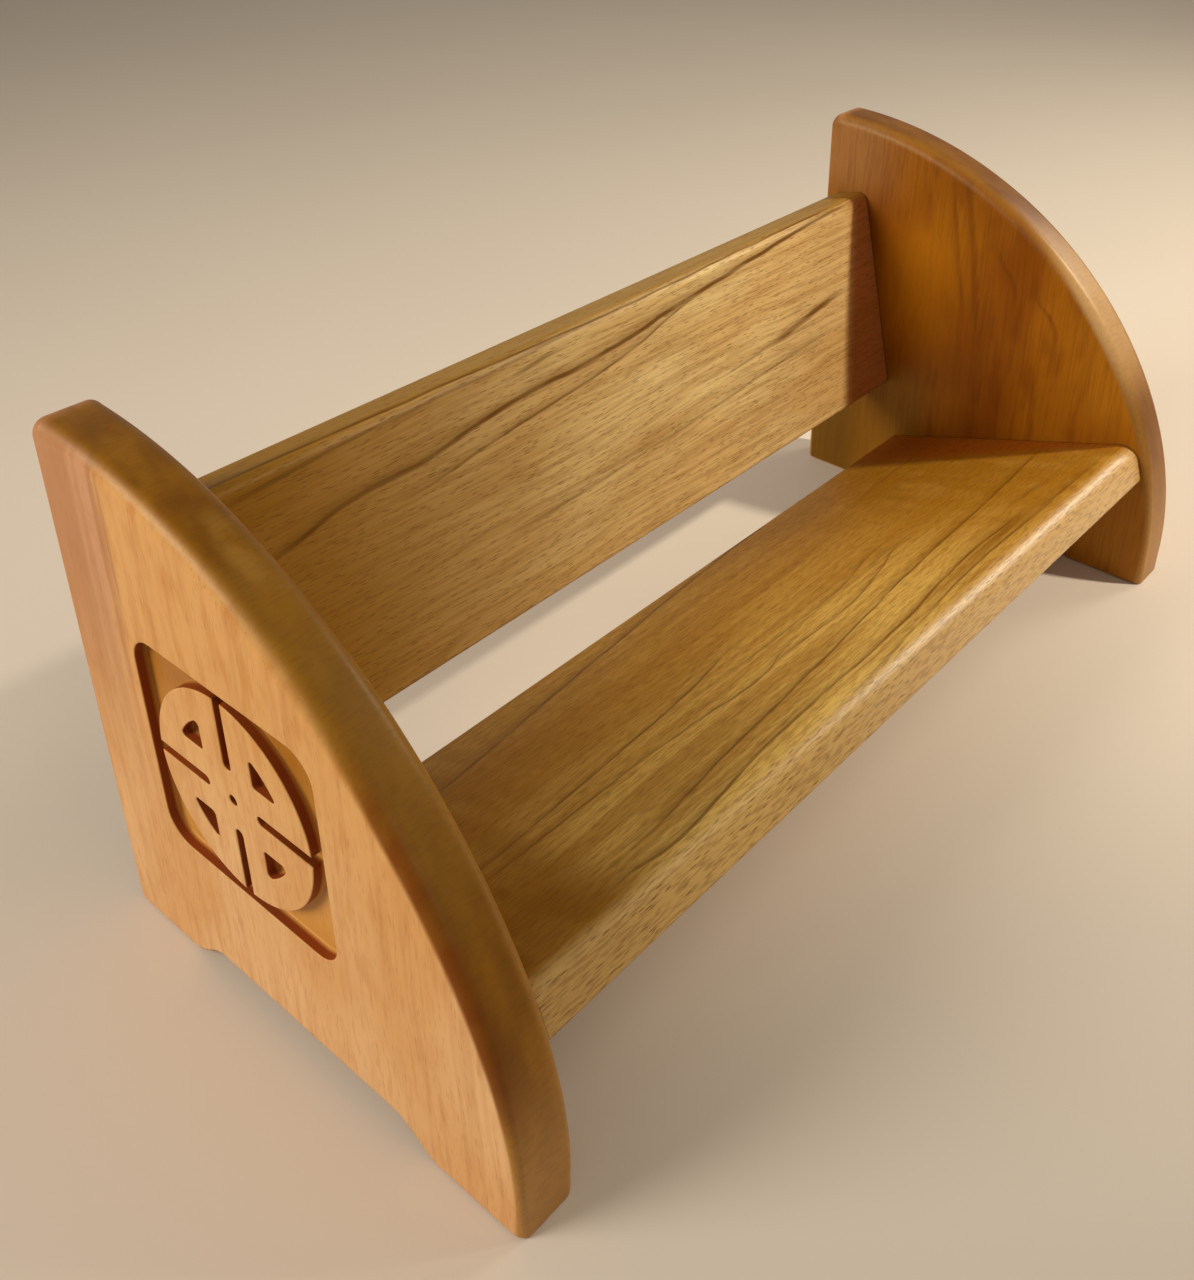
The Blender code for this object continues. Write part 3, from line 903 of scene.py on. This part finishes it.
def outer_face(wood):
    """Pale pinkish tan, with small orange mottles and a pink band down the back."""
    patches = wood.marks((0.10, 0.05, 0.05), 0.40, 0.65)
    pale = wood.mix(patches, colour(218, 168, 112), colour(208, 152, 92))
    dashes = wood.marks((0.014, 0.0018, 0.0018), 0.50, 0.70)
    pale = wood.mix(0.28 * dashes, pale, colour(180, 112, 50))
    upper = wood.rise(wood.along, 0.06, 0.15)
    pale = wood.mix(0.65 * upper, pale, colour(204, 142, 66))
    mottles = wood.marks((0.021, 0.0068, 0.0068), 0.44, 0.72, detail=2.0)
    pale = wood.mix((0.20 + 0.28 * upper) * mottles, pale, colour(184, 114, 44))
    pale = pink_band(wood, pale)
    streaks = wood.marks((0.10, 0.0036, 0.0036), 0.46, 0.70, detail=2.0)
    return wood.mix(0.24 * streaks, pale, colour(174, 108, 56))


def pink_band(wood, face):
    """A streaky pink band down the back of a face, ragged in front and fading out downwards."""
    ragged = wood.noise(wood.grain, (0.08, 0.003, 0.003), 2.0, wood.seed) - 0.5
    edge = PINK_BAND + PINK_SLANT * (wood.along - END_HEIGHT) + PINK_RAGGED * ragged
    from_back = END_DEPTH / 2 - wood.across
    band = wood.fall(from_back - edge, -0.005, 0.003) * wood.rise(wood.along, 0.05, 0.17)
    streaks = wood.marks((0.30, 0.008, 0.02), 0.42, 0.58)
    pink = wood.mix(streaks, colour(186, 132, 96), colour(164, 108, 72))
    return wood.mix(0.75 * band, face, pink)


def carving(wood, face):
    """Walls scorched brown by the cutter and darkened further as painted shade, turning golden low down as
    painted light, and a golden floor that is paler in its lower part.
    """
    carved = wood.mesh_value("carved")
    low = wood.fall(wood.along, 0.10, 0.135)
    golden = wood.mix(low, colour(158, 96, 14), colour(200, 138, 58))
    face = wood.mix(0.85 * wood.rise(carved, 0.5, 0.9), face, golden)
    # scorch and painted shade: dark walls, giving way to the golden colour near the floor as painted light
    wall = wood.between(carved, (0.03, 0.12), (0.60, 0.92))
    return wood.mix(0.95 * wall, face, colour(124, 44, 0))


def inner_face(wood):
    """Orange brown, redder and darker than the outer face, partly as painted shade and painted red bounce
    light, with dark streaks.

    It is paler towards the front and pinkish at the top of the back. Olive painted shade lies low at the
    back, and painted light brightens a patch in front of it and a band beside the back board.
    """
    # the base colours are partly painted shade and painted red bounce light
    patches = wood.marks((0.09, 0.04, 0.04), 0.34, 0.68, detail=2.0)
    brown = wood.mix(patches, colour(158, 93, 8), colour(130, 67, 2))
    mottles = wood.marks((0.022, 0.007, 0.007), 0.45, 0.68)
    brown = wood.mix(0.32 * mottles, brown, colour(104, 46, 2))
    fore = wood.fall(wood.across, -0.075, -0.03)
    brown = wood.mix(0.45 * fore * wood.rise(wood.along, 0.07, 0.10), brown, colour(186, 122, 26))
    brown = wood.mix(0.50 * fore * wood.fall(wood.along, 0.05, 0.07), brown, colour(190, 128, 40))
    rear = wood.rise(wood.across, 0.045, 0.085)
    brown = wood.mix(0.8 * rear * wood.rise(wood.along, 0.155, 0.185), brown, colour(164, 110, 58))
    # painted shade: olive low at the back, under the back board
    brown = wood.mix(0.8 * rear * wood.fall(wood.along, 0.06, 0.10), brown, colour(102, 72, 14))
    # painted light: a paler patch low down, just in front of the back
    below = wood.rise(wood.across, 0.02, 0.04) * wood.fall(wood.along, 0.065, 0.085)
    brown = wood.mix(0.7 * below * (1 - rear), brown, colour(158, 108, 16))
    fibre = wood.marks((0.03, 0.0014, 0.0014), 0.44, 0.68, detail=2.0)
    brown = wood.mix(0.24 * fibre, brown, colour(96, 42, 2))
    # painted light: a paler band beside the back board
    beside = wood.rise(wood.across, 0.0, 0.04) * wood.between(wood.along, (0.07, 0.11), (0.14, 0.18))
    brown = wood.mix(0.55 * beside * (1 - rear), brown, colour(182, 112, 10))
    lines = wood.growth_lines(0, END_HEIGHT, wood.across + END_DEPTH / 2, END_DEPTH, INNER_LINES)
    return wood.mix(0.8 * lines, brown, colour(88, 36, 2))


def rim_grain(wood, outward, wear_and_sheen):
    """End grain: golden brown, paler at the foot and along the inner side, redder along the outer.

    Half way up it is worn, with a painted highlight, and it is scuffed near the top. The rear edge runs with
    the grain.
    """
    patches = wood.marks((0.05, 0.02, 0.012), 0.30, 0.70, detail=2.0)
    golden = wood.mix(patches, colour(*wear_and_sheen["light"]), colour(*wear_and_sheen["dark"]))
    inside = wood.fall(outward, -0.95, -0.45)
    golden = wood.mix(0.35 * inside, golden, colour(186, 134, 62))
    # wear and a painted highlight: a pale band half way up the rim
    middle = wood.between(wood.along, (0.09, 0.13), wear_and_sheen["worn_and_sheen_top"])
    golden = wood.mix(wear_and_sheen["worn_and_sheen_share"] * middle, golden, colour(*wear_and_sheen["worn"]))
    crease = wood.between(wood.along, (0.040, 0.060), (0.13, 0.165)) * wood.rise(outward, 0.3, 0.9)
    crease = crease * (0.65 + 0.35 * wood.marks((0.012, 0.012, 0.012), 0.35, 0.65))
    golden = wood.mix(0.90 * crease, golden, colour(118, 52, 0))
    scuff = wood.between(wood.along, (0.180, 0.188), (0.193, 0.200)) * wood.fall(outward, 0.0, 0.4)
    scuff = scuff * wood.marks((0.012, 0.012, 0.008), 0.30, 0.70, detail=2.0)
    golden = wood.mix(wear_and_sheen["scuff_share"] * scuff, golden, colour(178, 130, 56))
    foot = wood.fall(wood.along, 0.015, 0.075)
    golden = wood.mix(wear_and_sheen["foot_share"] * foot, golden, colour(192, 138, 70))
    specks = wood.marks((0.0022, 0.0011, 0.0050), 0.45, 0.65)
    golden = wood.mix(0.12 * specks, golden, colour(90, 50, 4))
    rear = wood.rise(wood.across, END_DEPTH / 2 - 0.010, END_DEPTH / 2 - 0.004)
    streaks = wood.marks((0.08, 0.004, 0.004), 0.35, 0.65, detail=2.0)
    return wood.mix(rear, golden, wood.mix(streaks, colour(182, 124, 74), colour(160, 102, 54)))


def dowel_finish():
    """Bare turned beech, with fine streaks along its length."""
    wood = Beech("dowel_finish", (0, 0, 0), (0, 0, 0), seed=23.0)
    streaks = wood.marks((0.02, 0.0012, 0.0012), 0.40, 0.66, detail=2.0)
    bare = wood.mix(streaks, colour(214, 176, 132), colour(190, 148, 104))
    wood.paint(bare, 0.6 + 0.1 * streaks)
    wood.relief(streaks, PORE_DEPTH)
    return wood


# Stage


def camera():
    data = bpy.data.cameras.new("camera")
    data.sensor_fit = "AUTO"
    data.sensor_width = SENSOR_WIDTH
    longest = max(PHOTO_WIDTH, PHOTO_HEIGHT)
    data.lens = FOCAL_PIXELS / longest * SENSOR_WIDTH
    data.shift_x = (PHOTO_WIDTH / 2 - AXIS_PIXEL[0]) / longest
    data.shift_y = (AXIS_PIXEL[1] - PHOTO_HEIGHT / 2) / longest
    data.clip_start = CAMERA_NEAR
    item = bpy.data.objects.new("camera", data)
    bpy.context.scene.collection.objects.link(item)
    level = math.cos(CAMERA_PITCH)
    forward = Vector((
        level * math.sin(CAMERA_YAW), level * math.cos(CAMERA_YAW), math.sin(CAMERA_PITCH)
    ))
    right = forward.cross(Vector((0, 0, 1))).normalized()
    up = right.cross(forward)
    roll_cos = math.cos(CAMERA_ROLL)
    roll_sin = math.sin(CAMERA_ROLL)
    tilted_right = roll_cos * right + roll_sin * up
    tilted_up = roll_cos * up - roll_sin * right
    turn = Matrix((tilted_right, tilted_up, -forward)).transposed()
    item.matrix_world = Matrix.Translation(CAMERA_PLACE) @ turn.to_4x4()
    bpy.context.scene.camera = item


def floor():
    """Plain pale paint, a little cloudy."""
    mesh = bmesh.new()
    bmesh.ops.create_grid(mesh, x_segments=1, y_segments=1, size=FLOOR_REACH)
    data = bpy.data.meshes.new("floor")
    mesh.to_mesh(data)
    mesh.free()
    finish = Finish("floor_paint")
    finish.shader.inputs["Specular IOR Level"].default_value = FLOOR_SHINE
    cloud = finish.noise(finish.place(), FLOOR_CLOUD)
    base = finish.mix(cloud, colour(219, 203, 181), colour(213, 196, 174))
    finish.paint(base, 0.7 + 0.05 * cloud)
    data.materials.append(finish.material)
    item = bpy.data.objects.new("floor", data)
    bpy.context.scene.collection.objects.link(item)


def area_lamp(name, place, target, size, watts, tint):
    """A big soft lamp, whose spread keeps it off the floor right below it."""
    data = bpy.data.lights.new(name, "AREA")
    data.shape = "DISK"
    data.size = size
    data.spread = AREA_SPREAD
    aim_lamp(name, data, place, target, watts, tint)


def spot_lamp(name, place, target, radius, watts, tint):
    """A small lamp in a shade, which fades out towards the edge of its cone."""
    data = bpy.data.lights.new(name, "SPOT")
    data.shadow_soft_size = radius
    data.spot_size = LAMP_CONE
    data.spot_blend = LAMP_BLEND
    aim_lamp(name, data, place, target, watts, tint)


def aim_lamp(name, data, place, target, watts, tint):
    data.energy = watts
    data.color = tint
    item = bpy.data.objects.new(name, data)
    item.location = place
    item.rotation_euler = (Vector(target) - Vector(place)).to_track_quat("-Z", "Y").to_euler()
    bpy.context.scene.collection.objects.link(item)


def lights():
    """A low soft window behind on the left, and a lamp in front on the right that fades to the left.

    Two weaker soft lamps, on the right and in front, fill the shadows.
    """
    world = bpy.data.worlds.new("soft_room")
    world.use_nodes = True
    background = world.node_tree.nodes["Background"]
    background.inputs["Color"].default_value = ROOM_TINT
    background.inputs["Strength"].default_value = ROOM_STRENGTH
    bpy.context.scene.world = world
    area_lamp("window", (-1.45, 0.71, 0.85), (-0.2, 0, 0.1), size=0.9, watts=7.4, tint=DAYLIGHT)
    area_lamp("side", (1.5, -0.55, 1.05), (0.1, 0, 0.1), size=0.55, watts=2.4, tint=WARM_LIGHT)
    area_lamp("front", (-0.35, -1.5, 0.75), (0, 0, 0.1), size=1.0, watts=0.7, tint=WARM_LIGHT)
    spot_lamp("lamp", (0.585, -0.706, 0.97), (0.7, 0.15, 0), radius=0.035, watts=50, tint=LAMPLIGHT)


def build():
    camera()
    tree = board_tree()
    for word, side in SIDES.items():
        end_panel(word, side, end_finish(word, side))
    shelf_board(tree, shelf_finish())
    back_board(tree, back_finish())
    dowels(dowel_finish())
    floor()
    lights()
    bpy.context.scene.view_settings.view_transform = "Standard"


build()
